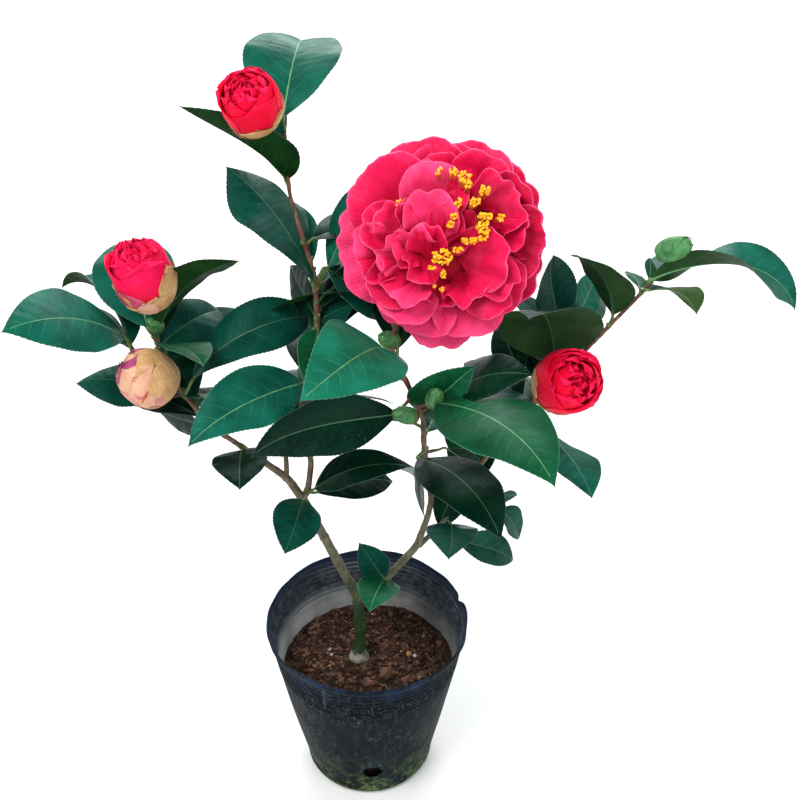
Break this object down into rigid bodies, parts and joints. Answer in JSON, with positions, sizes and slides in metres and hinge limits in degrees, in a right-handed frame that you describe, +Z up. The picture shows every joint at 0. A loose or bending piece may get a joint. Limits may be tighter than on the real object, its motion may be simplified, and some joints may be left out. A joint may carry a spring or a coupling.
{
  "type": "camellia shrub in a nursery pot",
  "caption": "Young evergreen camellia shrub with forked stems, glossy leaves, a large double pink-red bloom and fat buds, rooted in soil in a round plastic nursery pot.",
  "frame": {"origin": "centre of the pot's flat underside, which is the level surface it stands on", "axes": "+Z up the plant, +X to the right as seen from the side that the bloom faces, +Y away from that side"},
  "size_m": [0.4614, 0.2112, 0.4989],
  "materials": {
    "pot": "satin",
    "soil": "matte",
    "bark": "matte",
    "leaves": "satin",
    "petals": "matte",
    "bud_scales": "matte",
    "green_bud": "satin"
  },
  "bodies": {
    "root": {"bloom": "petals", "bough_centre": "bark", "bough_inner": "bark", "bough_left": "bark", "bough_outer": "bark", "bough_outer_mid": "bark", "bough_right": "bark", "bough_tip": "bark", "bough_top": "bark", "bud_closed": "bud_scales", "bud_green_tip": "green_bud", "bud_red_left": "petals", "bud_red_right": "petals", "bud_red_top": "petals", "foliage_centre": "leaves", "foliage_foot": "leaves", "foliage_front": "leaves", "foliage_inner": "leaves", "foliage_inner_left": "leaves", "foliage_left_bud": "leaves", "foliage_left_mid": "leaves", "foliage_left_tip": "leaves", "foliage_low_centre": "leaves", "foliage_right_front": "leaves", "foliage_right_low": "leaves", "foliage_right_mid": "leaves", "foliage_right_tip": "leaves", "foliage_top": "leaves", "foliage_under_bloom": "leaves", "foliage_upper": "leaves", "pot": "pot", "soil": "soil", "stem": "bark"}
  },
  "joints": []
}
